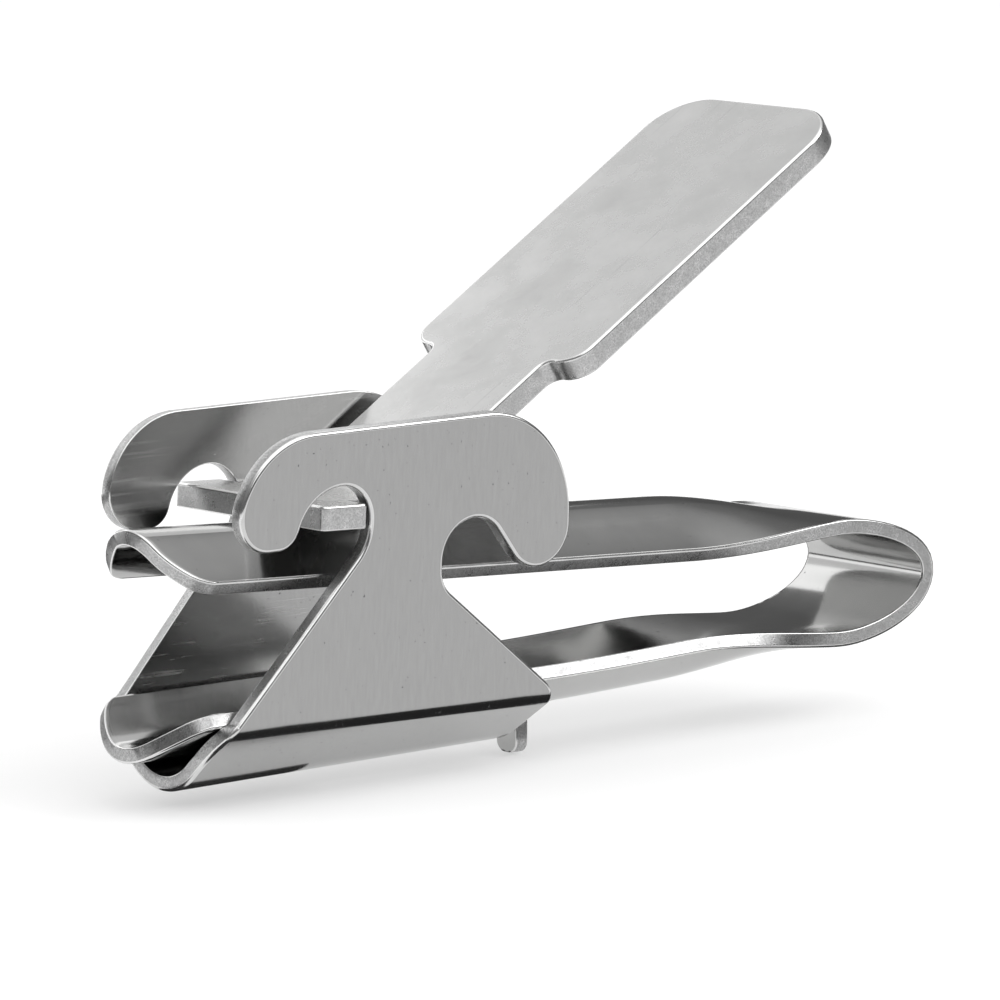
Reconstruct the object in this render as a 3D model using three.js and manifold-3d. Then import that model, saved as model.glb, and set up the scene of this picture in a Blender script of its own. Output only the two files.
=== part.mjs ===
// Lever nutcracker pressed from stainless steel sheet: a U-shaped side frame, a one-piece sprung jaw
// strip, and a plate lever whose crossbar rides in the frame's hook notches.
//
// Millimetres, +Z up. While building, x = 0 is the jaw tips, y = 0 the middle plane and z = 0 the
// underside of the frame's bend. The exported group moves this to the middle of the resting box.

import * as THREE from "three";
import { mergeVertices } from "three/addons/utils/BufferGeometryUtils.js";
import Module from "manifold-3d";

const rad = THREE.MathUtils.degToRad;

// Overall
const LENGTH = 97.8; // jaw tips to the back of the spring loop
const GAP = 0.3; // clearance between neighbouring solids
const TAB_DROP = 2.0; // how far the stop tab hangs below the frame

// Side frame
const SHEET = 1.5; // thickness of the frame and of the jaw strip
const SPLAY = rad(3); // each wall leans outwards by this angle
const WALL_HALF = 9.192; // half width of the outer skin, if the walls ran down to z = 0
const FLOOR_R = 6.6; // outer radius of the round floor
const CORNER_R = 2.2; // outer radius of the bends between the sloping flanks and the walls
const FRONT_FOLD = { flank: rad(43), floor: -0.6 }; // the base is pinched tighter at the front
const REAR_FOLD = { flank: rad(34), floor: -0.25 };
const FRAME_TOP = 33.6;
const BASE_FRONT = 4.7;
const BASE_REAR = 45.7;

// Front hook notch: the crossbar's seat, and the axis that the lever turns about
const PIVOT = new THREE.Vector2(18.2, 24.7);
const NOTCH_R = 3.5;

// Jaw strip
const STRIP_HALF = 8.45; // half of the developed width
const JAW = { crown: 3.2, lower: [rad(29), rad(38)], upper: [rad(44), rad(30)] };
const TROUGH_END = 66; // distance from the tips where the troughs start to flatten out
const FLAT_START = 88; // and where the strip is quite flat
const LOOP_REAR = LENGTH - SHEET / 2;
const LOOP_MID_Z = 12.0;
const LOOP_X = 84; // where the arms run into the loop
const LOWER_Z = [5.2, 6.1]; // mean height of the lower arm at its tip and at the loop
const UPPER_Z = [21.8, 17.68]; // and of the upper arm
const LOWER_STRAIGHT = 46; // length of the lower arm before it starts to rise
const UPPER_TIP = 0.5; // the upper tip stands this far behind the lower one
const NOSE_SETBACK = { lower: 3.8, upper: 3.9 }; // how far the sides of each nose stand back
const NOSE_CORNER = 1.2; // radius of the nose's corners
const NOSE_REACH = 16; // length over which the setback dies out

// Stop tab, lanced from the lower arm and bent down behind the frame
const TAB_X = 48.55;
const TAB_WIDTH = 3.0;
const TAB_BEND_R = 1.9; // outer radius

// Lever
const PLATE = 2.4;
const LEVER_RISE = rad(31.5);
const FOOT_TILT = rad(-2.5); // the foot lies along the crown of the upper arm
const FOOT_TOP = PIVOT.y + 1.8;
const BAR = { front: -2.75, rear: 2.75, half: 11.0 }; // crossbar, measured from the pivot
const BEND_X = 27.0; // where the foot's top face meets the rise
const LEVER_BEND_R = 2.2; // inner radius of that bend
const NECK_HALF = 8.0;
const GRIP = { start: 22.0, end: 63.9, half: 12.05, endR: 5.6, shoulderR: 2.7, filletR: 1.3 };

const wasm = await Module();
wasm.setup();

// --- Solids ---------------------------------------------------------------------------------------

function toSolid(geometry) {
  const bare = geometry.index ? geometry.clone() : geometry;
  bare.deleteAttribute("normal");
  bare.deleteAttribute("uv");
  const merged = mergeVertices(bare, 1e-4);
  const mesh = new wasm.Mesh({
    numProp: 3,
    vertProperties: new Float32Array(merged.attributes.position.array),
    triVerts: new Uint32Array(merged.index.array),
  });
  return new wasm.Manifold(mesh);
}

function toGeometry(solid) {
  const mesh = solid.getMesh();
  const geometry = new THREE.BufferGeometry();
  geometry.setAttribute("position", new THREE.BufferAttribute(mesh.vertProperties, 3));
  geometry.setIndex(new THREE.BufferAttribute(mesh.triVerts, 1));
  geometry.computeVertexNormals();
  return geometry;
}

// A closed outline of straight runs, where each corner [x, y, radius] is rounded by a true arc.
function roundedOutline(corners) {
  const shape = new THREE.Shape();
  corners.forEach(([x, y, r], i) => {
    const here = new THREE.Vector2(x, y);
    const before = new THREE.Vector2(...corners.at(i - 1)).sub(here).normalize();
    const after = new THREE.Vector2(...corners[(i + 1) % corners.length]).sub(here).normalize();
    const half = Math.acos(THREE.MathUtils.clamp(before.dot(after), -1, 1)) / 2;
    if (!r) {
      if (i) shape.lineTo(x, y);
      else shape.moveTo(x, y);
      return;
    }
    const start = here.clone().addScaledVector(before, r / Math.tan(half));
    const end = here.clone().addScaledVector(after, r / Math.tan(half));
    const centre = before.clone().add(after).setLength(r / Math.sin(half)).add(here);
    const clockwise = before.cross(after) > 0;
    const angle = (p) => Math.atan2(p.y - centre.y, p.x - centre.x);
    if (i) shape.lineTo(start.x, start.y);
    else shape.moveTo(start.x, start.y);
    shape.absarc(centre.x, centre.y, r, angle(start), angle(end), clockwise);
  });
  shape.closePath();
  return shape;
}

function extrude(shape, depth, curveSegments = 5) {
  return new THREE.ExtrudeGeometry(shape, { depth, bevelEnabled: false, curveSegments });
}

// A prism along Y whose outline is drawn in X and Z.
function prismAlongY(shape, halfWidth, curveSegments) {
  const geometry = extrude(shape, 2 * halfWidth, curveSegments);
  geometry.rotateX(Math.PI / 2).translate(0, halfWidth, 0);
  return toSolid(geometry);
}

// A prism along X whose outline is drawn in Y and Z.
function prismAlongX(shape, from, to, curveSegments) {
  const geometry = extrude(shape, to - from, curveSegments);
  geometry.rotateZ(Math.PI / 2).rotateY(Math.PI / 2).translate(from, 0, 0);
  return toSolid(geometry);
}

function box(x0, x1, y0, y1, z0, z1) {
  const geometry = new THREE.BoxGeometry(x1 - x0, y1 - y0, z1 - z0);
  geometry.translate((x0 + x1) / 2, (y0 + y1) / 2, (z0 + z1) / 2);
  return toSolid(geometry);
}

// --- Side frame -----------------------------------------------------------------------------------

// One side of the frame: base, waist, and a head with two downward hooks.
function frameOutline() {
  const front = { left: 5.9, tip: 22.7, inner: 14.4, top: PIVOT.y + NOTCH_R };
  const rear = { left: 30.9, tip: 18.0, top: 23.6, right: 46.9, hookR: 3.9 };
  return roundedOutline([
    [BASE_FRONT, -1, 0],
    [BASE_REAR, -1, 0],
    [BASE_REAR, 5.8, 3.0],
    [rear.left, 17.5, 3.0],
    [rear.left, rear.top, rear.hookR],
    [36.7, rear.top, rear.hookR],
    [41.1, rear.tip, rear.hookR],
    [rear.right, rear.tip, rear.hookR],
    [rear.right, FRAME_TOP, 10.8],
    [8.4, FRAME_TOP, 9.2],
    [front.left, 27.0, 3.7],
    [front.left, front.tip, 3.5],
    [12.43, front.tip, 2.6],
    [front.inner, front.top, 5.3],
    [PIVOT.x + NOTCH_R, front.top, NOTCH_R],
    [PIVOT.x + NOTCH_R, 22.5, 5.0],
    [BASE_FRONT, 5.0, 7.0],
  ]);
}

// Half of the folded section, as [y, z] on the skin that lies `depth` inside the outer one. t runs 0-1
// round the floor, 1-2 up the flank, 2-3 round the corner and 3-4 up the wall.
function foldProfile({ flank, floor }, t, depth) {
  const wall = Math.PI / 2 - SPLAY;
  const splay = Math.tan(SPLAY);
  const skin = (y, z, a) => [y - depth * Math.sin(a), z + depth * Math.cos(a)];
  const round = (r, y, z, from, to) =>
    skin(y + r * (Math.sin(to) - Math.sin(from)), z + r * (Math.cos(from) - Math.cos(to)), to);
  if (t <= 1) return round(FLOOR_R, 0, floor, 0, flank * t);
  const y1 = FLOOR_R * Math.sin(flank);
  const z1 = floor + FLOOR_R * (1 - Math.cos(flank));
  const dy = CORNER_R * (Math.sin(wall) - Math.sin(flank));
  const dz = CORNER_R * (Math.cos(flank) - Math.cos(wall));
  const run = (WALL_HALF + (z1 + dz) * splay - y1 - dy) / (Math.cos(flank) - Math.sin(flank) * splay);
  const along = run * Math.min(t - 1, 1);
  const y2 = y1 + along * Math.cos(flank);
  const z2 = z1 + along * Math.sin(flank);
  if (t <= 2) return skin(y2, z2, flank);
  if (t <= 3) return round(CORNER_R, y2, z2, flank, flank + (wall - flank) * (t - 2));
  const z = THREE.MathUtils.lerp(z2 + dz, FRAME_TOP + 1, t - 3);
  return skin(WALL_HALF + z * splay, z, wall);
}

// The whole folded section at x, as a closed ring of [y, z]: outer skin, then inner skin.
function foldRing(x) {
  const steps = [0];
  for (let i = 1; i <= 8; i++) steps.push(i / 8);
  steps.push(2);
  for (let i = 1; i <= 4; i++) steps.push(2 + i / 4);
  steps.push(4);
  const amount = (x - BASE_FRONT) / (BASE_REAR - BASE_FRONT);
  const point = (t, depth) => {
    const front = foldProfile(FRONT_FOLD, t, depth);
    const rear = foldProfile(REAR_FOLD, t, depth);
    return front.map((v, i) => THREE.MathUtils.lerp(v, rear[i], amount));
  };
  const skin = (depth) => {
    const right = steps.map((t) => point(t, depth));
    const left = right.slice(1).reverse().map(([y, z]) => [-y, z]);
    return [...left, ...right];
  };
  return [...skin(0), ...skin(SHEET).reverse()];
}

// The folded sheet before its outline is cut: a prism whose far end takes the rear section.
function foldedSheet(from, to) {
  const start = foldRing(from);
  const end = foldRing(to);
  const geometry = extrude(new THREE.Shape(start.map(([y, z]) => new THREE.Vector2(y, z))), 1);
  const position = geometry.attributes.position;
  for (let i = 0; i < position.count; i++) {
    const [y, z] = [position.getX(i), position.getY(i)];
    const index = start.findIndex((p) => Math.hypot(p[0] - y, p[1] - z) < 1e-4);
    const atEnd = position.getZ(i) > 0.5;
    const point = atEnd ? end[index] : start[index];
    position.setXYZ(i, atEnd ? to : from, point[0], point[1]);
  }
  return toSolid(geometry);
}

function side_frame() {
  return foldedSheet(-1, LENGTH / 2 + 1).intersect(prismAlongY(frameOutline(), 20, 6));
}

// --- Jaw strip ------------------------------------------------------------------------------------

// Centre line of the strip in X and Z: out along the lower arm, round the loop, back to the upper tip.
function stripPath() {
  const at = (x, z) => new THREE.Vector2(x, z);
  const path = new THREE.CurvePath();
  const upperSlope = (UPPER_Z[1] - UPPER_Z[0]) / (LOOP_X - UPPER_TIP);
  const middle = (LOWER_STRAIGHT + LOOP_X) / 2;
  path.add(new THREE.LineCurve(at(0, LOWER_Z[0]), at(LOWER_STRAIGHT, LOWER_Z[0])));
  const reach = 0.5523 * (LOOP_REAR - LOOP_X);
  const rise = 0.5523;
  path.add(
    new THREE.CubicBezierCurve(
      at(LOWER_STRAIGHT, LOWER_Z[0]), at(middle - 5, LOWER_Z[0]),
      at(middle + 5, LOWER_Z[1]), at(LOOP_X, LOWER_Z[1]),
    ),
  );
  path.add(
    new THREE.CubicBezierCurve(
      at(LOOP_X, LOWER_Z[1]),
      at(LOOP_X + reach, LOWER_Z[1]),
      at(LOOP_REAR, LOOP_MID_Z - rise * (LOOP_MID_Z - LOWER_Z[1])),
      at(LOOP_REAR, LOOP_MID_Z),
    ),
  );
  path.add(
    new THREE.CubicBezierCurve(
      at(LOOP_REAR, LOOP_MID_Z),
      at(LOOP_REAR, LOOP_MID_Z + rise * (UPPER_Z[1] - LOOP_MID_Z)),
      at(LOOP_X + reach, UPPER_Z[1] + reach * upperSlope),
      at(LOOP_X, UPPER_Z[1]),
    ),
  );
  path.add(new THREE.LineCurve(at(LOOP_X, UPPER_Z[1]), at(UPPER_TIP, UPPER_Z[0])));
  path.curves.forEach((curve) => {
    curve.arcLengthDivisions = 400;
  });
  return path;
}

// Cross-section of a trough, as [y, outward] at the developed distance w from the middle. The crown
// is an arc that steepens to angles[0], and the sides relax to angles[1] at the edges.
function troughPoint(w, angles, amount) {
  const steep = angles[0] * amount;
  const edge = angles[1] * amount;
  const run = (length, from, to) => {
    if (Math.abs(to - from) < 1e-6) return [length * Math.cos(from), -length * Math.sin(from)];
    const scale = length / (to - from);
    return [
      scale * (Math.sin(to) - Math.sin(from)),
      scale * (Math.cos(to) - Math.cos(from)),
    ];
  };
  const inner = Math.min(Math.abs(w), JAW.crown);
  const outer = Math.abs(w) - inner;
  const first = run(inner, 0, (steep * inner) / JAW.crown);
  if (outer <= 0) return [Math.sign(w) * first[0], first[1]];
  const turned = steep + ((edge - steep) * outer) / (STRIP_HALF - JAW.crown);
  const second = run(outer, steep, turned);
  return [Math.sign(w) * (first[0] + second[0]), first[1] + second[1]];
}

const path = stripPath();
const PATH_LENGTH = path.getLength();

// Middle skin of the strip at the distance s along the path from the lower tip.
function stripPoint(s, w) {
  const upper = s > PATH_LENGTH / 2;
  const fromTip = upper ? PATH_LENGTH - s : s;
  const amount = 1 - THREE.MathUtils.smoothstep(fromTip, TROUGH_END, FLAT_START);
  const angles = upper ? JAW.upper : JAW.lower;
  const back = upper ? NOSE_SETBACK.upper : NOSE_SETBACK.lower;
  const corner = Math.max(0, Math.abs(w) - STRIP_HALF + NOSE_CORNER);
  const rounding = NOSE_CORNER - Math.sqrt(NOSE_CORNER ** 2 - Math.min(corner, NOSE_CORNER) ** 2);
  const setback = back * (w / STRIP_HALF) ** 2 + rounding;
  const nose = setback * Math.max(0, 1 - fromTip / NOSE_REACH);
  const u = THREE.MathUtils.clamp((upper ? s - nose : s + nose) / PATH_LENGTH, 0, 1);
  const centre = path.getPointAt(u);
  const ahead = path.getTangentAt(u);
  const [y, drop] = troughPoint(w, angles, amount);
  const depth = -troughPoint(STRIP_HALF, angles, amount)[1];
  const out = drop + depth / 2;
  return new THREE.Vector3(centre.x + ahead.y * out, y, centre.y - ahead.x * out);
}

// A length of the strip as a bent and dished block: the middle skin, thickened to both sides.
function stripSolid(from, to, along, across) {
  const geometry = new THREE.BoxGeometry(1, 1, 1, along, across, 1);
  const position = geometry.attributes.position;
  const step = 0.02;
  for (let i = 0; i < position.count; i++) {
    const s = THREE.MathUtils.lerp(from, to, position.getX(i) + 0.5);
    const w = 2 * STRIP_HALF * position.getY(i);
    const lo = THREE.MathUtils.clamp(s - step, 0, PATH_LENGTH - 2 * step);
    const along_ = stripPoint(lo + 2 * step, w).sub(stripPoint(lo, w));
    const across_ = stripPoint(s, w + step).sub(stripPoint(s, w - step));
    const normal = along_.cross(across_).normalize();
    const point = stripPoint(s, w).addScaledVector(normal, SHEET * position.getZ(i));
    position.setXYZ(i, point.x, point.y, point.z);
  }
  return toSolid(geometry);
}

const ARM_LENGTH = 84;

function lower_jaw_arm() {
  const arm = stripSolid(0, ARM_LENGTH, 34, 14);
  const crown = stripPoint(TAB_X, 0).z;
  const under = crown - SHEET / 2;
  const tip = -TAB_DROP;
  const front = TAB_X - SHEET / 2;
  const rear = TAB_X + SHEET / 2;
  const root = front + TAB_BEND_R + SHEET;
  const side = new THREE.Shape();
  side.moveTo(front, tip);
  side.lineTo(rear, tip);
  side.lineTo(rear, under - TAB_BEND_R + SHEET);
  side.absarc(rear + TAB_BEND_R - SHEET, under - TAB_BEND_R + SHEET, TAB_BEND_R - SHEET,
    Math.PI, Math.PI / 2, true);
  side.lineTo(root + 1, under);
  side.lineTo(root + 1, under + SHEET - 0.1);
  side.lineTo(rear + TAB_BEND_R - SHEET, under + SHEET - 0.1);
  side.quadraticCurveTo(front, under + SHEET - 0.1, front, under - TAB_BEND_R + SHEET);
  side.closePath();
  const half = TAB_WIDTH / 2;
  const face = roundedOutline([
    [-half, tip, half * 0.8],
    [half, tip, half * 0.8],
    [half, under + 3, 0],
    [-half, under + 3, 0],
  ]);
  const tongue = prismAlongY(side, half + 1, 4).intersect(prismAlongX(face, front - 1, root + 3, 5));
  const length = under + TAB_DROP + 1;
  const window = box(root - length, root, -half - GAP, half + GAP, under - 1, under + SHEET + 1);
  return arm.subtract(window).add(tongue);
}

function spring_loop() {
  return stripSolid(ARM_LENGTH + GAP, PATH_LENGTH - ARM_LENGTH - GAP, 30, 10);
}

function upper_jaw_arm() {
  return stripSolid(PATH_LENGTH - ARM_LENGTH, PATH_LENGTH, 34, 14);
}

// --- Lever ----------------------------------------------------------------------------------------

// The plate seen from the side: a foot along the upper arm, a bend, and the rising handle.
function leverSide() {
  const turn = LEVER_RISE - FOOT_TILT;
  const foot = new THREE.Vector2(Math.cos(FOOT_TILT), Math.sin(FOOT_TILT));
  const rise = new THREE.Vector2(Math.cos(LEVER_RISE), Math.sin(LEVER_RISE));
  const down = (v, d) => new THREE.Vector2(v.y * d, -v.x * d);
  const corner = new THREE.Vector2(BEND_X, FOOT_TOP + (BEND_X - PIVOT.x) * Math.tan(FOOT_TILT));
  const under = corner.clone().add(down(foot, PLATE)).addScaledVector(foot, PLATE * Math.tan(turn / 2));
  const front = (BAR.front + PIVOT.x - BEND_X) / foot.x;
  const topFront = corner.clone().addScaledVector(foot, front);
  const topEnd = corner.clone().addScaledVector(rise, GRIP.end);
  const lowFront = topFront.clone().add(down(foot, PLATE));
  const lowEnd = topEnd.clone().add(down(rise, PLATE));
  return roundedOutline([
    [topFront.x, topFront.y, 0.4],
    [lowFront.x, lowFront.y, 0.4],
    [under.x, under.y, LEVER_BEND_R + PLATE],
    [lowEnd.x, lowEnd.y, 0],
    [topEnd.x, topEnd.y, 0],
    [corner.x, corner.y, LEVER_BEND_R],
  ]);
}

// The grip seen square on, in distance along the rise and width.
function gripOutline() {
  const { start, end, half, endR, shoulderR, filletR } = GRIP;
  return roundedOutline([
    [start - 12, -NECK_HALF, 0],
    [start, -NECK_HALF, filletR],
    [start, -half, shoulderR],
    [end, -half, endR],
    [end, half, endR],
    [start, half, shoulderR],
    [start, NECK_HALF, filletR],
    [start - 12, NECK_HALF, 0],
  ]);
}

function press_lever() {
  const side = prismAlongY(leverSide(), GRIP.half + 1, 4);
  const grip = extrude(gripOutline(), 40, 5);
  const cornerZ = FOOT_TOP + (BEND_X - PIVOT.x) * Math.tan(FOOT_TILT);
  grip.translate(0, 0, -20).rotateY(-LEVER_RISE).translate(BEND_X, 0, cornerZ);
  const split = BEND_X + 12;
  const high = FRAME_TOP + 60;
  const neck = box(PIVOT.x + BAR.rear - 1, split, -NECK_HALF, NECK_HALF, 0, high);
  const bar = box(0, PIVOT.x + BAR.rear, -BAR.half, BAR.half, 0, high);
  const plan = neck.add(bar).add(toSolid(grip).intersect(box(split - 1, 120, -20, 20, 0, high)));
  return side.intersect(plan);
}

// --- Assembly -------------------------------------------------------------------------------------

function satin(color, roughness) {
  return new THREE.MeshStandardMaterial({ color, roughness, metalness: 1 });
}

function piece(make, material) {
  const mesh = new THREE.Mesh(toGeometry(make()), material);
  mesh.name = make.name;
  return mesh;
}

const nutcracker = new THREE.Group();
nutcracker.name = "nutcracker";
nutcracker.add(piece(side_frame, satin(0xa6a6a4, 0.34)));
nutcracker.add(piece(lower_jaw_arm, satin(0x8c8c8b, 0.22)));
nutcracker.add(piece(spring_loop, satin(0x8c8c8b, 0.22)));
nutcracker.add(piece(upper_jaw_arm, satin(0x8c8c8b, 0.26)));
nutcracker.add(piece(press_lever, satin(0xbdbdbb, 0.3)));
nutcracker.position.set(-LENGTH / 2, 0, TAB_DROP);

export default nutcracker;
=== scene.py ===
"""Studio scene of the lever nutcracker: a folded side frame, a one-piece sprung jaw strip with two
trough jaws, and a plate lever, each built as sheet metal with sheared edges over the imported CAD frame.

Millimetres in the making: x runs from the jaw tips to the spring loop, y across, and z up from the
underside of the frame's bend. place() turns them into the row frame's metres."""

import math

import bmesh
import bpy
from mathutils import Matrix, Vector

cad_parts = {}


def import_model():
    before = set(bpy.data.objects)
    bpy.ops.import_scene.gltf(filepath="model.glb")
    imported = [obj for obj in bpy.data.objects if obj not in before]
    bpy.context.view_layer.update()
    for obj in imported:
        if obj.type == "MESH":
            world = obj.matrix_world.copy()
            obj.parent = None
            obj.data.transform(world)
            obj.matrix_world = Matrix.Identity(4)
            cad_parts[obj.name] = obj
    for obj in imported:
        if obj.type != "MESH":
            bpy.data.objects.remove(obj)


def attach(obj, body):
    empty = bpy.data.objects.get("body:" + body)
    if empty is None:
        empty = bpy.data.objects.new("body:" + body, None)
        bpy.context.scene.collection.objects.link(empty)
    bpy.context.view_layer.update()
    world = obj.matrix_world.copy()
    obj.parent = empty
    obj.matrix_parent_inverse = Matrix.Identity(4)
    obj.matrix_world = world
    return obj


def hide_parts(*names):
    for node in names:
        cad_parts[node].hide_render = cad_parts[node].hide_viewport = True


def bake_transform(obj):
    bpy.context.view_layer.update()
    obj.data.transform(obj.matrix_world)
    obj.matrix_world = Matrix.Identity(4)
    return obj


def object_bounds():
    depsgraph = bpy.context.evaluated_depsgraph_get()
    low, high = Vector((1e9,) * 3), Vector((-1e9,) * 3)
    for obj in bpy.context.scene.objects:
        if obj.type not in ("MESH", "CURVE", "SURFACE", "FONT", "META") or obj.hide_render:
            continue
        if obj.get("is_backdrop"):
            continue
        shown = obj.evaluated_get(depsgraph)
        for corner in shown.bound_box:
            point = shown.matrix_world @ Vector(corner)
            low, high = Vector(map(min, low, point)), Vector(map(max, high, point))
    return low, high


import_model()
CAD_LOW, CAD_HIGH = (Vector(corner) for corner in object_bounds())

MM = 0.001
rad = math.radians

# ---- Driving dimensions, millimetres ---------------------------------------------------------------

SHEET = 1.5
PLATE = 2.4

# Rounding of each piece's rims: the rollover on the outer skin, then the burr side.
FRAME_EDGES = (0.36, 0.12)
STRIP_EDGES = (0.25, 0.14)
TAB_EDGES = (0.14, 0.12)
LEVER_EDGES = (0.30, 0.18)
BEVEL_SEGMENTS = 3

SPLAY = rad(3)
WALL_HALF = 9.192
FLOOR_R, CORNER_R = 6.6, 2.2
FRONT_FOLD = (rad(43), -0.6)
REAR_FOLD = (rad(34), -0.25)
FRAME_TOP = 33.6
BASE_FRONT, BASE_REAR = 4.7, 45.7
PIVOT_X, PIVOT_Z = 18.2, 24.7
NOTCH_R = 3.5

LENGTH = 97.8
STRIP_HALF = 8.45
CROWN_HALF = 3.2
LOWER_ANGLES = (rad(29), rad(38))
UPPER_ANGLES = (rad(44), rad(30))
TROUGH_END, FLAT_START = 66.0, 88.0
LOOP_REAR = LENGTH - SHEET / 2
LOOP_MID_Z = 12.0
LOOP_X = 84.0
LOWER_Z = (5.2, 6.1)
UPPER_Z = (21.8, 17.68)
LOWER_STRAIGHT, UPPER_TIP = 46.0, 0.5
LOWER_SETBACK, UPPER_SETBACK, NOSE_CORNER, NOSE_REACH = 3.8, 3.9, 1.2, 16.0
TAB_X, TAB_WIDTH, TAB_DROP, TAB_BEND_R, TAB_TIP = 48.55, 3.0, 2.0, 1.9, 1.2
WINDOW_LENGTH, WINDOW_GAP = 6.6, 0.3
STRIP_ROWS, STRIP_COLUMNS = 250, 26

LEVER_RISE, FOOT_TILT = rad(31.5), rad(-2.5)
FOOT_TOP = PIVOT_Z + 1.8
BAR_HALF_X, BAR_HALF_Y = 2.75, 11.0
LEVER_BEND_X, LEVER_BEND_R = 27.0, 2.2
NECK_HALF = 8.0
GRIP_START, GRIP_END, GRIP_HALF = 22.0, 63.9, 12.05
GRIP_END_R, GRIP_SHOULDER_R, GRIP_FILLET_R = 5.6, 2.7, 1.3

KAPPA = 0.5523  # handle of a Bezier quarter circle, as a part of its radius
NEAR_POINTS = 0.03  # outline points closer together than this are merged

SCENE = bpy.context.scene
ROOT, JAW, LEVER = "frame_and_lower_jaw", "upper_jaw", "lever"
ORIGIN = Vector((CAD_LOW.x, 0, CAD_LOW.z + TAB_DROP * MM))


def place(x, y, z):
    return ORIGIN + Vector((x, y, z)) * MM


# ---- Outlines --------------------------------------------------------------------------------------

def rounded(corners, step=0.35):
    """Points of a closed outline whose corners (x, y, radius) are true arcs."""
    points = []
    for i, (x, y, r) in enumerate(corners):
        here = Vector((x, y))
        before = (Vector(corners[i - 1][:2]) - here).normalized()
        after = (Vector(corners[(i + 1) % len(corners)][:2]) - here).normalized()
        if not r:
            points.append(here)
            continue
        half = before.angle(after) / 2
        centre = here + (before + after).normalized() * (r / math.sin(half))
        start = here + before * (r / math.tan(half)) - centre
        turn = math.pi - 2 * half
        sense = 1 if before.cross(after) < 0 else -1
        count = max(3, round(r * turn / step))
        for k in range(count + 1):
            a = sense * turn * k / count
            points.append(centre + Vector((
                start.x * math.cos(a) - start.y * math.sin(a),
                start.x * math.sin(a) + start.y * math.cos(a),
            )))
    return [p for i, p in enumerate(points) if (p - points[i - 1]).length > NEAR_POINTS]


def frame_side():
    """One side of the frame from its base, round the hooks and back, as (x, z) points."""
    right = PIVOT_X + NOTCH_R
    top = PIVOT_Z + NOTCH_R
    return rounded([
        (BASE_FRONT, -1, 0),
        (BASE_REAR, -1, 0),
        (BASE_REAR, 5.8, 3.0),
        (30.9, 17.5, 3.0),
        (30.9, 23.6, 3.9),
        (36.7, 23.6, 3.9),
        (41.1, 18.0, 3.9),
        (46.9, 18.0, 3.9),
        (46.9, FRAME_TOP, 10.8),
        (8.4, FRAME_TOP, 9.2),
        (5.9, 27.0, 3.7),
        (5.9, 22.7, 3.5),
        (12.43, 22.7, 2.6),
        (14.4, top, 5.3),
        (right, top, NOTCH_R),
        (right, 22.5, 5.0),
        (BASE_FRONT, 5.0, 7.0),
    ])


def lever_plan():
    """The lever laid flat, as (distance from the bend, y) points."""
    front = (PIVOT_X - BAR_HALF_X - LEVER_BEND_X) / math.cos(FOOT_TILT)
    rear = front + 2 * BAR_HALF_X
    half = [
        (front, -BAR_HALF_Y, 0.5),
        (rear, -BAR_HALF_Y, 0.5),
        (rear, -NECK_HALF, 0.4),
        (GRIP_START, -NECK_HALF, GRIP_FILLET_R),
        (GRIP_START, -GRIP_HALF, GRIP_SHOULDER_R),
        (GRIP_END, -GRIP_HALF, GRIP_END_R),
    ]
    return rounded(half + [(x, -y, r) for x, y, r in reversed(half)], step=0.3)


# ---- Folding ---------------------------------------------------------------------------------------

def fold_half(fold, t, depth):
    """Half of the folded section as (y, z), `depth` inside the outer skin. t runs 0-1 round the floor,
    1-2 up the flank, 2-3 round the corner and 3-4 up the wall."""
    flank, low = fold
    wall = math.pi / 2 - SPLAY
    splay = math.tan(SPLAY)

    def skin(y, z, angle):
        return y - depth * math.sin(angle), z + depth * math.cos(angle)

    def arc(r, y, z, start, end):
        return skin(y + r * (math.sin(end) - math.sin(start)), z + r * (math.cos(start) - math.cos(end)), end)

    if t <= 1:
        return arc(FLOOR_R, 0, low, 0, flank * t)
    y1, z1 = FLOOR_R * math.sin(flank), low + FLOOR_R * (1 - math.cos(flank))
    dy, dz = CORNER_R * (math.sin(wall) - math.sin(flank)), CORNER_R * (math.cos(flank) - math.cos(wall))
    run = (WALL_HALF + (z1 + dz) * splay - y1 - dy) / (math.cos(flank) - math.sin(flank) * splay)
    along = run * min(t - 1, 1)
    y2, z2 = y1 + along * math.cos(flank), z1 + along * math.sin(flank)
    if t <= 2:
        return skin(y2, z2, flank)
    if t <= 3:
        return arc(CORNER_R, y2, z2, flank, flank + (wall - flank) * (t - 2))
    z = z2 + dz + (FRAME_TOP + 1 - z2 - dz) * (t - 3)
    return skin(WALL_HALF + z * splay, z, wall)


def panel_lengths(fold):
    """Lengths of the outer skin round half the floor, up the flank, round the corner and up the wall."""
    ends = [Vector(fold_half(fold, t, 0)) for t in (1, 2, 3, 4)]
    turned = math.pi / 2 - SPLAY - fold[0]
    return FLOOR_R * fold[0], (ends[1] - ends[0]).length, CORNER_R * turned, (ends[3] - ends[2]).length


PANELS = [(a + b) / 2 for a, b in zip(panel_lengths(FRONT_FOLD), panel_lengths(REAR_FOLD))]


def unrolled(t):
    """The distance from the middle of the flat blank to the place t round the fold."""
    whole = min(int(abs(t)), 3)
    return math.copysign(sum(PANELS[:whole]) + PANELS[whole] * (abs(t) - whole), t)


def rolled_up(v):
    """The place t round the fold for the distance v from the middle of the flat blank."""
    whole, rest = 0, abs(v)
    while whole < 3 and rest > PANELS[whole]:
        rest -= PANELS[whole]
        whole += 1
    return math.copysign(whole + rest / PANELS[whole], v)


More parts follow.
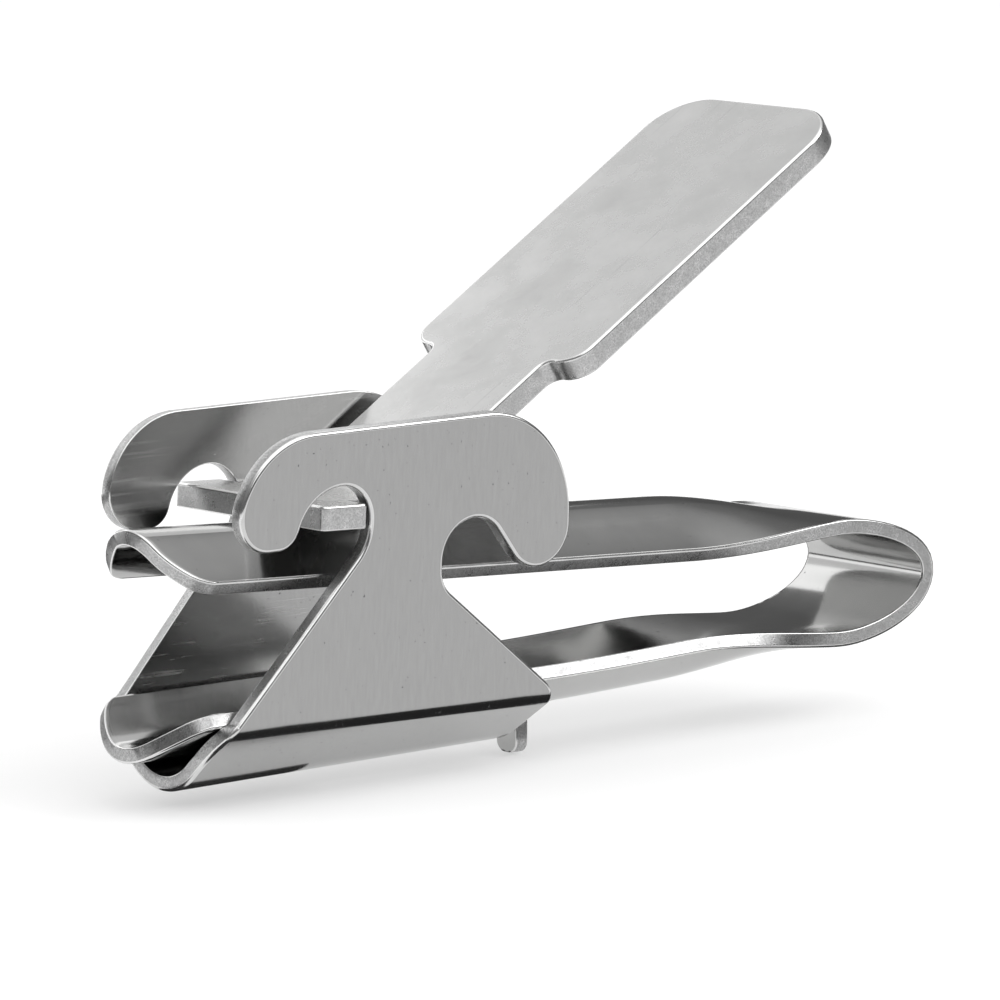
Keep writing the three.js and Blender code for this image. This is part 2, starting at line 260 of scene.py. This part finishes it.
def fold_frame(x, t, depth=0.0):
    """The frame's skin at x. t is the place round the fold, negative on the near side."""
    amount = (x - BASE_FRONT) / (BASE_REAR - BASE_FRONT)
    front, rear = fold_half(FRONT_FOLD, abs(t), depth), fold_half(REAR_FOLD, abs(t), depth)
    y, z = (a + (b - a) * amount for a, b in zip(front, rear))
    return place(x, math.copysign(y, t), z)


def fold_height(x, z):
    """The t at which the outer skin reaches the height z."""
    low, high = 0.0, 4.2
    for _ in range(40):
        mid = (low + high) / 2
        if (fold_frame(x, mid).z - ORIGIN.z) / MM < z:
            low = mid
        else:
            high = mid
    return low


def fold_lever(d, y, depth=0.0):
    """The lever's skin at the flat distance d from the bend's middle, `depth` under its top face."""
    turn = LEVER_RISE - FOOT_TILT
    corner_z = FOOT_TOP + (LEVER_BEND_X - PIVOT_X) * math.tan(FOOT_TILT)
    tangent = LEVER_BEND_R * math.tan(turn / 2)
    if abs(d) >= tangent:
        a = LEVER_RISE if d > 0 else FOOT_TILT
        x, z = LEVER_BEND_X + d * math.cos(a), corner_z + d * math.sin(a)
    else:
        a = FOOT_TILT + turn * (d + tangent) / (2 * tangent)
        x = LEVER_BEND_X - tangent * math.cos(FOOT_TILT) + LEVER_BEND_R * (math.sin(a) - math.sin(FOOT_TILT))
        z = corner_z - tangent * math.sin(FOOT_TILT) - LEVER_BEND_R * (math.cos(a) - math.cos(FOOT_TILT))
    return place(x + depth * math.sin(a), y, z - depth * math.cos(a))


# ---- Jaw strip -------------------------------------------------------------------------------------

def bezier(p0, p1, p2, p3, count):
    for k in range(count + 1):
        t = k / count
        a, b, c, d = (1 - t) ** 3, 3 * t * (1 - t) ** 2, 3 * t * t * (1 - t), t ** 3
        yield Vector((
            a * p0[0] + b * p1[0] + c * p2[0] + d * p3[0],
            a * p0[1] + b * p1[1] + c * p2[1] + d * p3[1],
        ))


def straight(p0, p1, count):
    for k in range(count + 1):
        yield Vector(p0).lerp(Vector(p1), k / count)


def strip_path():
    """Dense centre line in x and z, out along the lower arm, round the loop and back to the tip."""
    low, high = LOWER_Z[1], UPPER_Z[1]
    slope = (high - UPPER_Z[0]) / (LOOP_X - UPPER_TIP)
    reach = KAPPA * (LOOP_REAR - LOOP_X)
    middle = (LOWER_STRAIGHT + LOOP_X) / 2
    points = list(straight((0, LOWER_Z[0]), (LOWER_STRAIGHT, LOWER_Z[0]), 200))
    points += list(bezier(
        (LOWER_STRAIGHT, LOWER_Z[0]), (middle - 5, LOWER_Z[0]), (middle + 5, low), (LOOP_X, low), 200))[1:]
    points += list(bezier(
        (LOOP_X, low), (LOOP_X + reach, low),
        (LOOP_REAR, LOOP_MID_Z - KAPPA * (LOOP_MID_Z - low)), (LOOP_REAR, LOOP_MID_Z), 200))[1:]
    points += list(bezier(
        (LOOP_REAR, LOOP_MID_Z), (LOOP_REAR, LOOP_MID_Z + KAPPA * (high - LOOP_MID_Z)),
        (LOOP_X + reach, high + reach * slope), (LOOP_X, high), 200))[1:]
    points += list(straight((LOOP_X, high), (UPPER_TIP, UPPER_Z[0]), 300))[1:]
    return points


PATH = strip_path()
STATIONS = [0.0]
for a, b in zip(PATH, PATH[1:]):
    STATIONS.append(STATIONS[-1] + (b - a).length)
PATH_LENGTH = STATIONS[-1]


def along_path(s):
    """(point, unit tangent) of the centre line at the distance s."""
    s = min(max(s, 0.0), PATH_LENGTH)
    lo, hi = 0, len(STATIONS) - 1
    while hi - lo > 1:
        mid = (lo + hi) // 2
        lo, hi = (mid, hi) if STATIONS[mid] <= s else (lo, mid)
    t = (s - STATIONS[lo]) / (STATIONS[hi] - STATIONS[lo])
    before = PATH[max(lo - 1, 0)]
    after = PATH[min(hi + 1, len(PATH) - 1)]
    return PATH[lo].lerp(PATH[hi], t), (after - before).normalized()


def arc_run(length, start, end):
    if abs(end - start) < 1e-6:
        return length * math.cos(start), -length * math.sin(start)
    scale = length / (end - start)
    return scale * (math.sin(end) - math.sin(start)), scale * (math.cos(end) - math.cos(start))


def trough(w, angles, amount):
    """(y, outward) of the trough's middle skin at the developed distance w from its crown."""
    steep, edge = angles[0] * amount, angles[1] * amount
    inner = min(abs(w), CROWN_HALF)
    outer = abs(w) - inner
    y, out = arc_run(inner, 0, steep * inner / CROWN_HALF)
    if outer > 0:
        turned = steep + (edge - steep) * outer / (STRIP_HALF - CROWN_HALF)
        dy, dout = arc_run(outer, steep, turned)
        y, out = y + dy, out + dout
    return math.copysign(y, w), out


def smoothstep(low, high, v):
    t = min(max((v - low) / (high - low), 0.0), 1.0)
    return t * t * (3 - 2 * t)


def strip_point(s, w):
    """Middle skin of the strip."""
    upper = s > PATH_LENGTH / 2
    from_tip = PATH_LENGTH - s if upper else s
    amount = 1 - smoothstep(TROUGH_END, FLAT_START, from_tip)
    angles = UPPER_ANGLES if upper else LOWER_ANGLES
    back = UPPER_SETBACK if upper else LOWER_SETBACK
    corner = min(max(0.0, abs(w) - STRIP_HALF + NOSE_CORNER), NOSE_CORNER)
    rounding = NOSE_CORNER - math.sqrt(NOSE_CORNER ** 2 - corner ** 2)
    nose = (back * (w / STRIP_HALF) ** 2 + rounding) * max(0.0, 1 - from_tip / NOSE_REACH)
    centre, ahead = along_path(s - nose if upper else s + nose)
    y, out = trough(w, angles, amount)
    out -= trough(STRIP_HALF, angles, amount)[1] / 2
    return place(centre.x + ahead.y * out, y, centre.y - ahead.x * out)


def strip_skin(s, w, depth):
    """The strip's skin `depth` inside the outer one, which faces away from the other arm."""
    step = 0.02
    low = min(max(s - step, 0.0), PATH_LENGTH - 2 * step)
    along = strip_point(low + 2 * step, w) - strip_point(low, w)
    across = strip_point(s, w + step) - strip_point(s, w - step)
    inwards = along.cross(across).normalized()
    return strip_point(s, w) + inwards * ((depth - SHEET / 2) * MM)


# ---- Meshes ----------------------------------------------------------------------------------------

def cut_across(bm, axis, values):
    """Adds edge lines where the flat blank crosses the given values of one coordinate."""
    normal = (1, 0, 0) if axis == 0 else (0, 1, 0)
    for v in values:
        at = (v, 0, 0) if axis == 0 else (0, v, 0)
        geometry = bm.verts[:] + bm.edges[:] + bm.faces[:]
        bmesh.ops.bisect_plane(bm, geom=geometry, plane_co=at, plane_no=normal, dist=1e-5)


def blank(points):
    bm = bmesh.new()
    bm.faces.new([bm.verts.new((p[0], p[1], 0)) for p in points])
    return bm


def grid(rows, columns, keep=lambda u, v: True):
    """A flat blank of quads between the given coordinates, without those whose middle isn't kept."""
    bm = bmesh.new()
    verts = [[bm.verts.new((u, v, 0)) for v in columns] for u in rows]
    for i in range(len(rows) - 1):
        for j in range(len(columns) - 1):
            if keep((rows[i] + rows[i + 1]) / 2, (columns[j] + columns[j + 1]) / 2):
                bm.faces.new((verts[i][j], verts[i + 1][j], verts[i + 1][j + 1], verts[i][j + 1]))
    bmesh.ops.delete(bm, geom=[v for v in bm.verts if not v.link_faces], context="VERTS")
    return bm


def spread(low, high, count):
    return [low + (high - low) * k / count for k in range(count + 1)]


def with_lines(values, extra, nearest):
    """values with the extra ones added, after dropping any that would lie too close to them."""
    kept = [v for v in values if all(abs(v - e) > nearest for e in extra)]
    return sorted(kept + list(extra))


def sheet(name, bm, skin, gauge, edges, materials, body, round_flat=False):
    """Turns a flat blank into sheet metal: two skins, the sheared rim between them, and its rounded edges.
    skin(u, v, depth) bends the blank. edges holds the two radii, and materials the face, the sheared rim
    and the rounded edge. Rounding comes after bending, or before it where bends run askew to the rim."""
    shape, unit = (lambda u, v, depth: Vector((u, v, -depth)), 1) if round_flat else (skin, MM)
    flat = list(bm.verts)
    outer_faces = list(bm.faces)
    rim_loops = [edge.link_loops[0] for edge in bm.edges if edge.is_boundary]
    rim_pairs = [(loop.vert, loop.link_loop_next.vert) for loop in rim_loops]
    under = {v: bm.verts.new(shape(v.co.x, v.co.y, gauge)) for v in flat}
    for face in outer_faces:
        bm.faces.new([under[v] for v in reversed(face.verts)])
    for a, b in rim_pairs:
        bm.faces.new((b, a, under[a], under[b])).material_index = 1
    for v in flat:
        v.co = shape(v.co.x, v.co.y, 0.0)
    mark = bm.edges.layers.int.new("rim")
    for a, b in rim_pairs:
        bm.edges.get((a, b))[mark] = 1
        bm.edges.get((under[a], under[b]))[mark] = 2
    bmesh.ops.recalc_face_normals(bm, faces=bm.faces)
    for which, radius in enumerate(edges, 1):
        rim = [edge for edge in bm.edges if edge[mark] == which and len(edge.link_faces) == 2]
        bmesh.ops.bevel(
            bm, geom=rim, offset=radius * unit, offset_type="OFFSET", segments=BEVEL_SEGMENTS,
            profile=0.5, affect="EDGES", clamp_overlap=False, material=2)
    if round_flat:
        for v in bm.verts:
            v.co = skin(v.co.x, v.co.y, -v.co.z)
    mesh = bpy.data.meshes.new(name)
    bm.to_mesh(mesh)
    bm.free()
    return finish_piece(name, mesh, materials, body)


def finish_piece(name, mesh, materials, body):
    for material in materials:
        mesh.materials.append(material)
    mesh.polygons.foreach_set("use_smooth", [True] * len(mesh.polygons))
    piece = bpy.data.objects.new(name, mesh)
    SCENE.collection.objects.link(piece)
    normals = piece.modifiers.new("face_normals", "WEIGHTED_NORMAL")
    normals.weight = 50
    if body:
        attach(piece, body)
    return piece


def make_frame(materials):
    side = [(x, unrolled(fold_height(x, z))) for x, z in frame_side()[2:]]
    bm = blank([(x, -v) for x, v in reversed(side)] + side)
    cut_across(bm, 0, spread(BASE_FRONT, BASE_REAR, 10)[1:-1])
    lines = [unrolled(t) for t in spread(0, 1, 12)[1:] + [1.33, 1.67] + spread(2, 3, 9)]
    cut_across(bm, 1, [0] + lines + [-v for v in lines])

    def skin(x, v, depth):
        return fold_frame(x, rolled_up(v), depth)

    piece = sheet("folded_side_frame", bm, skin, SHEET, FRAME_EDGES, materials, ROOT, round_flat=True)
    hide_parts("side_frame")


def make_lever(materials):
    bm = blank(lever_plan())
    tangent = LEVER_BEND_R * math.tan((LEVER_RISE - FOOT_TILT) / 2)
    cut_across(bm, 0, spread(-tangent, tangent, 10))
    piece = sheet("lever_plate", bm, fold_lever, PLATE, LEVER_EDGES, materials, LEVER)
    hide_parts("press_lever")


def make_strip(materials):
    root = TAB_X - SHEET / 2 + TAB_BEND_R + SHEET
    window = (root - WINDOW_LENGTH, root)
    half = TAB_WIDTH / 2 + WINDOW_GAP
    nose = [STRIP_HALF - NOSE_CORNER * (1 - math.sin(rad(a))) for a in (0, 25, 50, 70, 82)]
    rows = with_lines(spread(0, PATH_LENGTH, STRIP_ROWS), window, 0.25)
    extra = [side * v for v in nose + [half] for side in (-1, 1)]
    columns = with_lines(spread(-STRIP_HALF, STRIP_HALF, STRIP_COLUMNS), extra, 0.12)
    bm = grid(rows, columns, lambda s, w: not (window[0] < s < window[1] and abs(w) < half))
    piece = sheet("jaw_strip", bm, strip_skin, SHEET, STRIP_EDGES, materials, None)
    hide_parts("lower_jaw_arm", "spring_loop", "upper_jaw_arm")
    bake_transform(piece)


def make_tab(materials):
    """The stop tab: a tongue cut from the arm's crown that turns down behind the frame."""
    middle = (strip_point(TAB_X, 0).z - ORIGIN.z) / MM
    radius = TAB_BEND_R - SHEET / 2
    rise = middle - radius
    quarter = radius * math.pi / 2
    rows = with_lines(spread(-TAB_DROP, rise, 10), [-TAB_DROP + TAB_TIP * v for v in (0.1, 0.3, 0.6)], 0.1)
    rows += [rise + quarter * k / 8 for k in range(1, 9)] + [rise + quarter + 1.9]

    def skin(run, v, depth):
        below = max(0.0, 1 - (run + TAB_DROP) / TAB_TIP)
        width = TAB_WIDTH / 2 - TAB_TIP * (1 - math.sqrt(max(0.0, 1 - below * below)))
        out = depth - SHEET / 2
        turn = min(max(run - rise, 0.0) / radius, math.pi / 2)
        x = TAB_X + radius * (1 - math.cos(turn)) + max(0.0, run - rise - quarter)
        z = min(run, rise) + radius * math.sin(turn)
        return place(x + out * math.cos(turn), width * v, z - out * math.sin(turn))

    piece = sheet("stop_tab", grid(rows, spread(-1, 1, 6)), skin, SHEET, TAB_EDGES, materials, ROOT)


# ---- Materials -------------------------------------------------------------------------------------

def set_stops(node, stops):
    """Gives a colour ramp its (position, level) stops, as greys."""
    elements = node.color_ramp.elements
    elements[0].position = stops[0][0]
    elements[1].position = stops[-1][0]
    for position, _ in stops[1:-1]:
        elements.new(position)
    for element, (_, level) in zip(elements, stops):
        element.color = (level, level, level, 1)


class Nodes:
    """A material's node tree with short calls for the nodes that the steels share."""

    def __init__(self, name):
        self.material = bpy.data.materials.new(name)
        self.material.use_nodes = True
        self.tree = self.material.node_tree
        self.shader = self.tree.nodes["Principled BSDF"]
        coords = self.tree.nodes.new("ShaderNodeTexCoord")
        self.object = coords.outputs["Object"]

    def link(self, source, socket):
        self.tree.links.new(source, socket)

    def scaled(self, scale):
        node = self.tree.nodes.new("ShaderNodeMapping")
        node.inputs["Scale"].default_value = scale
        self.link(self.object, node.inputs["Vector"])
        return node.outputs["Vector"]

    def noise(self, scale, detail=4.0, roughness=0.55, stretch=(1, 1, 1)):
        node = self.tree.nodes.new("ShaderNodeTexNoise")
        node.inputs["Scale"].default_value = scale
        node.inputs["Detail"].default_value = detail
        node.inputs["Roughness"].default_value = roughness
        self.link(self.scaled(stretch), node.inputs["Vector"])
        return node.outputs["Fac"]

    def ramp(self, value, stops):
        node = self.tree.nodes.new("ShaderNodeValToRGB")
        set_stops(node, stops)
        self.link(value, node.inputs["Fac"])
        return node.outputs["Color"]

    def axes(self):
        node = self.tree.nodes.new("ShaderNodeSeparateXYZ")
        self.link(self.object, node.inputs[0])
        return node.outputs[0], node.outputs[1], node.outputs[2]

    def maths(self, operation, *values):
        node = self.tree.nodes.new("ShaderNodeMath")
        node.operation = operation
        for socket, value in zip(node.inputs, values):
            if isinstance(value, bpy.types.NodeSocket):
                self.link(value, socket)
            else:
                socket.default_value = value
        return node.outputs[0]

    def between(self, value, low, high, source=(0.3, 0.7)):
        node = self.tree.nodes.new("ShaderNodeMapRange")
        for name, v in zip(("From Min", "From Max", "To Min", "To Max"), (*source, low, high)):
            node.inputs[name].default_value = v
        self.link(value, node.inputs["Value"])
        return node.outputs["Result"]

    def mixed(self, factor, a, b, mode="MIX"):
        node = self.tree.nodes.new("ShaderNodeMix")
        node.data_type = "RGBA"
        node.blend_type = mode
        for socket, value in ((node.inputs[0], factor), (node.inputs[6], a), (node.inputs[7], b)):
            if isinstance(value, bpy.types.NodeSocket):
                self.link(value, socket)
            else:
                socket.default_value = value
        return node.outputs[2]

    def bump(self, height, strength, distance, under=None):
        node = self.tree.nodes.new("ShaderNodeBump")
        node.inputs["Strength"].default_value = strength
        node.inputs["Distance"].default_value = distance * MM
        self.link(height, node.inputs["Height"])
        if under:
            self.link(under, node.inputs["Normal"])
        return node.outputs["Normal"]

    def metal(self, colour, roughness, normal):
        self.shader.inputs["Metallic"].default_value = 1.0
        for name, value in (("Base Color", colour), ("Roughness", roughness)):
            if isinstance(value, bpy.types.NodeSocket):
                self.link(value, self.shader.inputs[name])
            else:
                self.shader.inputs[name].default_value = value
        self.link(normal, self.shader.inputs["Normal"])
        return self.material


def scuffs(n):
    """Where the inside of the frame is marked: fine level scratches, thicker beside the lower jaw."""
    x, y, z = n.axes()
    level = n.maths("SUBTRACT", z, ORIGIN.z)
    from_middle = n.maths("SUBTRACT", n.maths("ABSOLUTE", y), n.maths("MULTIPLY", level, math.tan(SPLAY)))
    inside = n.between(from_middle, 1, 0, (0.0083, 0.0088))
    lines = n.between(n.noise(2600, 2, 0.5, (0.035, 1, 1)), 0, 1, (0.60, 0.66))
    rubbed = n.between(n.noise(260, 3, 0.6, (0.5, 1, 1)), 0, 1, (0.46, 0.56))
    beside_jaw = n.between(level, 1, 0, (0.0125, 0.0150))
    above_fold = n.between(level, 0, 1, (0.0062, 0.0072))
    sparse = n.between(n.noise(90, 2, 0.5), 0, 0.3, (0.50, 0.62))
    amount = n.maths("MAXIMUM", n.maths("MULTIPLY", beside_jaw, rubbed), sparse)
    where = n.maths("MULTIPLY", inside, above_fold)
    return n.maths("MULTIPLY", n.maths("MULTIPLY", lines, amount), where)


def pits(n):
    return n.between(n.noise(4200, 0, 0.5), 0, 1, (0.83, 0.88))


def frame_steel():
    n = Nodes("frame_steel")
    grain = n.noise(3000, 3, 0.6, (1, 1, 0.12))
    cloud = n.noise(60, 3, 0.6, (1, 1, 0.5))
    fleck = n.noise(2600, 2, 0.5)
    marks = scuffs(n)
    holes = pits(n)
    colour = n.mixed(n.between(grain, 0, 1), (0.43, 0.43, 0.427, 1), (0.455, 0.455, 0.452, 1))
    colour = n.mixed(marks, colour, (0.80, 0.80, 0.79, 1))
    colour = n.mixed(holes, colour, (0.22, 0.22, 0.22, 1))
    roughness = n.maths("ADD", n.between(cloud, 0.13, 0.20), n.maths("MULTIPLY", marks, 0.20))
    normal = n.bump(grain, 0.06, 0.02)
    normal = n.bump(fleck, 0.07, 0.02, normal)
    normal = n.bump(holes, 0.6, -0.03, normal)
    return n.metal(colour, roughness, normal)


def strip_steel():
    n = Nodes("strip_steel")
    cloud = n.noise(70, 4, 0.6)
    fine = n.noise(1800, 3, 0.6, (0.4, 1, 1))
    holes = pits(n)
    colour = n.mixed(n.between(cloud, 0, 1), (0.44, 0.44, 0.436, 1), (0.52, 0.52, 0.515, 1))
    colour = n.mixed(holes, colour, (0.20, 0.20, 0.20, 1))
    normal = n.bump(fine, 0.08, 0.02)
    normal = n.bump(n.noise(130, 2, 0.5), 0.10, 0.08, normal)
    return n.metal(colour, n.between(cloud, 0.10, 0.17), normal)


def lever_steel():
    n = Nodes("lever_steel")
    grit = n.noise(1700, 3, 0.65)
    cloud = n.noise(110, 6, 0.68)
    scratch = n.between(n.noise(2400, 2, 0.5, (0.03, 1, 0.03)), 0, 0.7, (0.70, 0.76))
    colour = n.mixed(n.between(cloud, 0, 1), (0.53, 0.53, 0.526, 1), (0.63, 0.63, 0.626, 1))
    colour = n.mixed(scratch, colour, (0.46, 0.46, 0.46, 1))
    normal = n.bump(grit, 0.14, 0.03)
    normal = n.bump(cloud, 0.10, 0.06, normal)
    return n.metal(colour, n.between(cloud, 0.22, 0.32), normal)


def sheared_rim(name, tone, contrast):
    """Rim left by the press: fine torn grains over broader patches."""
    n = Nodes(name)
    grains = n.noise(6500, 3, 0.65)
    patches = n.noise(900, 3, 0.6)
    low, high = tone * (1 - contrast), min(1.0, tone * (1 + contrast))
    colour = n.ramp(grains, [(0.32, low), (0.5, tone), (0.68, high)])
    colour = n.mixed(n.between(patches, 0, 0.35), colour, (low, low, low, 1))
    normal = n.bump(grains, 0.4, 0.02)
    normal = n.bump(patches, 0.2, 0.05, normal)
    return n.metal(colour, n.between(patches, 0.24, 0.36), normal)


def burnish_and_painted_highlight():
    """The burnished rollover along every rim: smoother than the sheared rim, and lightened in colour as a
    painted highlight.
    """
    n = Nodes("burnish_and_painted_highlight")
    wear = n.noise(300, 3, 0.6)
    # far lighter than the face steel: a painted highlight along the rounded edges, varied by the wear noise
    colour = n.mixed(n.between(wear, 0, 1), (0.68, 0.68, 0.677, 1), (0.82, 0.82, 0.817, 1))
    return n.metal(colour, n.between(wear, 0.14, 0.24), n.bump(n.noise(900, 2, 0.5), 0.1, 0.02))


# ---- Stage -----------------------------------------------------------------------------------------

def floor():
    half = 6.0
    mesh = bpy.data.meshes.new("floor")
    corners = [(-half, -half, 0), (half, -half, 0), (half, half, 0), (-half, half, 0)]
    mesh.from_pydata(corners, [], [(0, 1, 2, 3)])
    n = Nodes("floor_paper")
    n.shader.inputs["Base Color"].default_value = (0.55, 0.55, 0.55, 1)
    n.shader.inputs["Roughness"].default_value = 0.9
    n.shader.inputs["Specular IOR Level"].default_value = 0.0
    n.shader.inputs["Emission Color"].default_value = (1, 1, 1, 1)
    n.shader.inputs["Emission Strength"].default_value = 0.42
    mesh.materials.append(n.material)
    plane = bpy.data.objects.new("floor", mesh)
    plane.location.z = CAD_LOW.z - 0.0002
    SCENE.collection.objects.link(plane)
    plane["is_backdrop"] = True


def studio_card(name, corners, level):
    """A sheet of card that only shows in the steel: it shades nothing and the camera looks past it."""
    mesh = bpy.data.meshes.new(name)
    mesh.from_pydata([place(*c) for c in corners], [], [(0, 1, 2, 3)])
    material = bpy.data.materials.new(name)
    material.use_nodes = True
    shader = material.node_tree.nodes["Principled BSDF"]
    shader.inputs["Base Color"].default_value = (0, 0, 0, 1)
    shader.inputs["Specular IOR Level"].default_value = 0.0
    shader.inputs["Emission Color"].default_value = (level, level, level, 1)
    shader.inputs["Emission Strength"].default_value = 1.0
    mesh.materials.append(material)
    card = bpy.data.objects.new(name, mesh)
    card.visible_camera = card.visible_diffuse = card.visible_shadow = False
    SCENE.collection.objects.link(card)
    card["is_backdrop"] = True


def floor_card(name, x0, x1, y0, y1, level):
    z = 0.1 - TAB_DROP
    studio_card(name, [(x0, y0, z), (x1, y0, z), (x1, y1, z), (x0, y1, z)], level)


def wall_card(name, x0, x1, z0, z1, level):
    y = 100
    studio_card(name, [(x0, y, z0), (x1, y, z0), (x1, y, z1), (x0, y, z1)], level)


def area_light(name, azimuth, elevation, distance, size, radiance, target):
    lamp = bpy.data.lights.new(name, "AREA")
    lamp.shape = "RECTANGLE"
    lamp.size, lamp.size_y = size
    lamp.energy = radiance * math.pi * size[0] * size[1]
    light = bpy.data.objects.new(name, lamp)
    a, e = rad(azimuth), rad(elevation)
    away = Vector((math.sin(a) * math.cos(e), -math.cos(a) * math.cos(e), math.sin(e)))
    light.location = target + away * distance
    light.rotation_euler = away.to_track_quat("Z", "Y").to_euler()
    light.visible_camera = False
    SCENE.collection.objects.link(light)


def world():
    """White all round, but what the steel mirrors falls off towards the horizon, as in a studio tent."""
    sky = bpy.data.worlds.new("studio")
    sky.use_nodes = True
    tree = sky.node_tree
    background = tree.nodes["Background"]
    path = tree.nodes.new("ShaderNodeLightPath")
    coords = tree.nodes.new("ShaderNodeTexCoord")
    split = tree.nodes.new("ShaderNodeSeparateXYZ")
    tree.links.new(coords.outputs["Generated"], split.inputs[0])
    ramp = tree.nodes.new("ShaderNodeValToRGB")
    set_stops(ramp, [
        (0.0, 0.3), (0.03, 0.10), (0.35, 0.12), (0.62, 0.24),
        (0.72, 0.48), (0.79, 0.62), (0.88, 1.5), (1.0, 1.5),
    ])
    tree.links.new(split.outputs["Z"], ramp.inputs["Fac"])
    mix = tree.nodes.new("ShaderNodeMix")
    mix.data_type = "RGBA"
    tree.links.new(path.outputs["Is Glossy Ray"], mix.inputs[0])
    mix.inputs[6].default_value = (1.05, 1.05, 1.05, 1)
    tree.links.new(ramp.outputs["Color"], mix.inputs[7])
    tree.links.new(mix.outputs[2], background.inputs["Color"])
    background.inputs["Strength"].default_value = 1.0
    SCENE.world = sky


def camera():
    """A long lens, from low down and to the left of the jaw tips."""
    azimuth, elevation, distance, lens = rad(-41.3), rad(8.32), 0.7455, 276.4
    target = place(47.0, 0, 23.0)
    away = Vector((
        math.sin(azimuth) * math.cos(elevation),
        -math.cos(azimuth) * math.cos(elevation),
        math.sin(elevation),
    ))
    data = bpy.data.cameras.new("camera")
    data.lens = lens
    data.sensor_width = 36
    data.clip_start, data.clip_end = 0.01, 20
    view = bpy.data.objects.new("camera", data)
    view.location = target + away * distance
    view.rotation_euler = away.to_track_quat("Z", "Y").to_euler()
    SCENE.collection.objects.link(view)
    SCENE.camera = view


# ---- Scene -----------------------------------------------------------------------------------------

# every piece's rounded edges share one material whose light colour is a painted highlight
edge_burnish_and_painted_highlight = burnish_and_painted_highlight()
strip_materials = [strip_steel(), sheared_rim("strip_rim", 0.46, 0.42), edge_burnish_and_painted_highlight]
make_frame([frame_steel(), sheared_rim("frame_rim", 0.46, 0.45), edge_burnish_and_painted_highlight])
make_strip(strip_materials)
make_tab(strip_materials)
make_lever([lever_steel(), sheared_rim("lever_rim", 0.60, 0.3), edge_burnish_and_painted_highlight])

floor()
world()
camera()
centre = (CAD_LOW + CAD_HIGH) / 2
area_light("key", 56, 36, 0.8, (0.49, 0.40), 2.8, centre)
area_light("front", 0, 43, 0.8, (1.10, 0.36), 1.2, centre)
wall_card("high_card", -90, 185, 108, 340, 0.88)
wall_card("horizon_card", -60, 60, 13, 35, 1.6)
wall_card("low_card", -60, 130, 35, 80, 0.90)
wall_card("bright_card", -60, 130, 80, 108, 1.7)
floor_card("side_flag", -10, 112, -17, -6.5, 0.03)
floor_card("nose_flag", 0, 22, -2.5, 2.5, 0.03)
floor_card("rear_flag", -500, 95, 80, 600, 0.10)
floor_card("side_floor", -100, 900, -900, -17, 0.86)
SCENE.view_settings.view_transform = "Standard"
